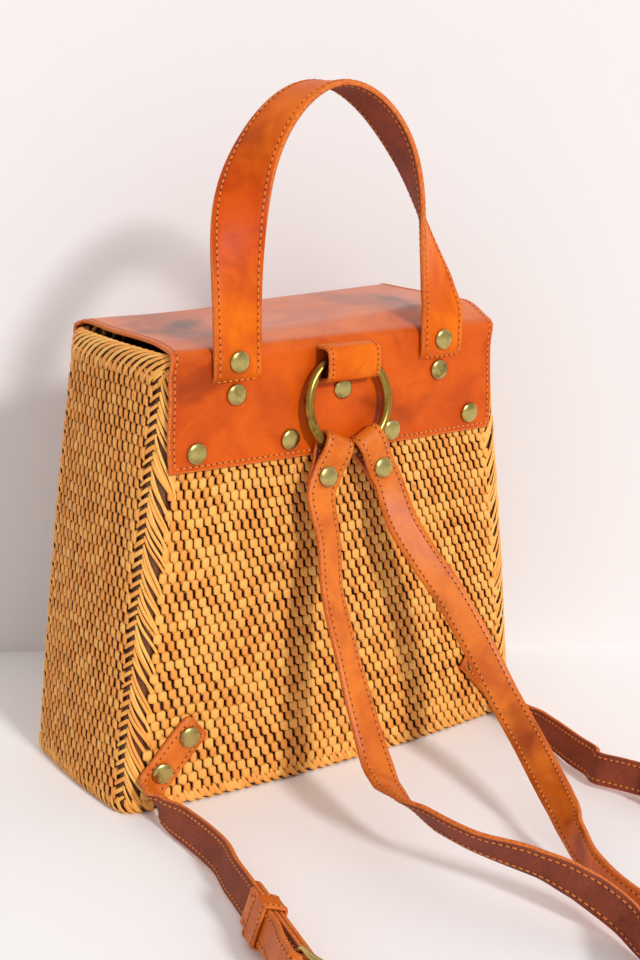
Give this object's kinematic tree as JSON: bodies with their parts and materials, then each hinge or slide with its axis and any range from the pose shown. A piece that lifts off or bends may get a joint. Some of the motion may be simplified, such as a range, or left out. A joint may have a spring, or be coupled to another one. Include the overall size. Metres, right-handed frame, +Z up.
{
  "type": "straw backpack",
  "caption": "Woven cane basket backpack with a leather lid and front flap, an arched hand handle, and buckled shoulder straps on a ring.",
  "frame": {"origin": "centre of the basket's underside, on the surface that it stands on", "axes": "+Z up; +Y towards the front flap; -Y is the side that lies on the wearer's back, where the straps are; +X to the right seen from the strap side"},
  "size_m": [0.3079, 0.4258, 0.3757],
  "materials": {
    "cane": "woven, matt",
    "cane_binding": "wound flat strands, matt",
    "cover_leather": "smooth, slightly glazed",
    "handle_leather": "smooth, stitched",
    "strap_leather": "smooth, stitched",
    "brass": "antique, satin"
  },
  "bodies": {
    "basket": {"base_panel": "cane", "back_panel": "cane", "front_panel": "cane", "left_panel": "cane", "right_panel": "cane", "corner_binding_back_left": "cane_binding", "corner_binding_back_right": "cane_binding", "corner_binding_front_left": "cane_binding", "corner_binding_front_right": "cane_binding", "rim_back": "cane_binding", "rim_front": "cane_binding", "rim_left": "cane_binding", "rim_right": "cane_binding", "back_yoke": "cover_leather", "ring_tab": "cover_leather", "handle_left_end": "handle_leather", "handle_right_end": "handle_leather", "strap_left_upper": "strap_leather", "strap_left_tongue": "strap_leather", "strap_left_buckle_end": "strap_leather", "strap_left_lower": "strap_leather", "strap_right_upper": "strap_leather", "strap_right_tongue": "strap_leather", "strap_right_buckle_end": "strap_leather", "strap_right_lower": "strap_leather", "snap_socket": "brass", "ring_tab_rivet": "brass", "handle_left_high_rivet": "brass", "handle_left_low_rivet": "brass", "handle_right_high_rivet": "brass", "handle_right_low_rivet": "brass", "yoke_rivet_1": "brass", "yoke_rivet_2": "brass", "yoke_rivet_3": "brass", "yoke_rivet_4": "brass", "strap_left_anchor_rivet_1": "brass", "strap_left_anchor_rivet_2": "brass", "buckle_left": "brass", "strap_right_anchor_rivet_1": "brass", "strap_right_anchor_rivet_2": "brass", "buckle_right": "brass"},
    "lid": {"lid_top": "cover_leather"},
    "front_cover": {"front_flap": "cover_leather", "snap_stud": "brass"},
    "hand_handle": {"handle_loop": "handle_leather"},
    "ring_and_loops": {"ring": "brass", "strap_left_loop": "strap_leather", "strap_left_loop_rivet": "brass", "strap_right_loop": "strap_leather", "strap_right_loop_rivet": "brass"},
    "left_prong": {"prong_left": "brass"},
    "right_prong": {"prong_right": "brass"},
    "left_keeper": {"keeper_left": "strap_leather"},
    "right_keeper": {"keeper_right": "strap_leather"}
  },
  "joints": [
    {"name": "flap_hinge", "type": "hinge", "parent": "basket", "child": "lid", "pos_m": [0.002, -0.0572, 0.2414], "axis": [1, 0, 0], "range_deg": [0, 62]},
    {"name": "front_flap_fold", "type": "hinge", "parent": "lid", "child": "front_cover", "pos_m": [0.002, 0.0572, 0.2414], "axis": [1, 0, 0], "range_deg": [0, 90]},
    {"name": "handle_fold", "type": "hinge", "parent": "basket", "child": "hand_handle", "pos_m": [-0.0015, -0.0604, 0.245], "axis": [1, 0, 0], "range_deg": [-63, 100]},
    {"name": "ring_swing", "type": "hinge", "parent": "basket", "child": "ring_and_loops", "pos_m": [-0.0015, -0.062, 0.233], "axis": [1, 0, 0], "range_deg": [-28, 0], "deforming": ["strap_left_upper", "strap_right_upper"]},
    {"name": "prong_left_lift", "type": "hinge", "parent": "basket", "child": "left_prong", "pos_m": [-0.15023, -0.23879, 0.01526], "axis": [0.3423, -0.0382, 0.9388], "range_deg": [0, 12]},
    {"name": "prong_right_lift", "type": "hinge", "parent": "basket", "child": "right_prong", "pos_m": [0.12421, -0.24984, 0.01586], "axis": [0.3136, 0.1425, 0.9388], "range_deg": [0, 12]},
    {"name": "keeper_left_slide", "type": "slide", "parent": "basket", "child": "left_keeper", "axis": [-0.2281, -0.9727, 0.0436], "range_m": [-0.008, 0.008]},
    {"name": "keeper_right_slide", "type": "slide", "parent": "basket", "child": "right_keeper", "axis": [0.3021, -0.9523, 0.0436], "range_m": [-0.008, 0.008]}
  ]
}
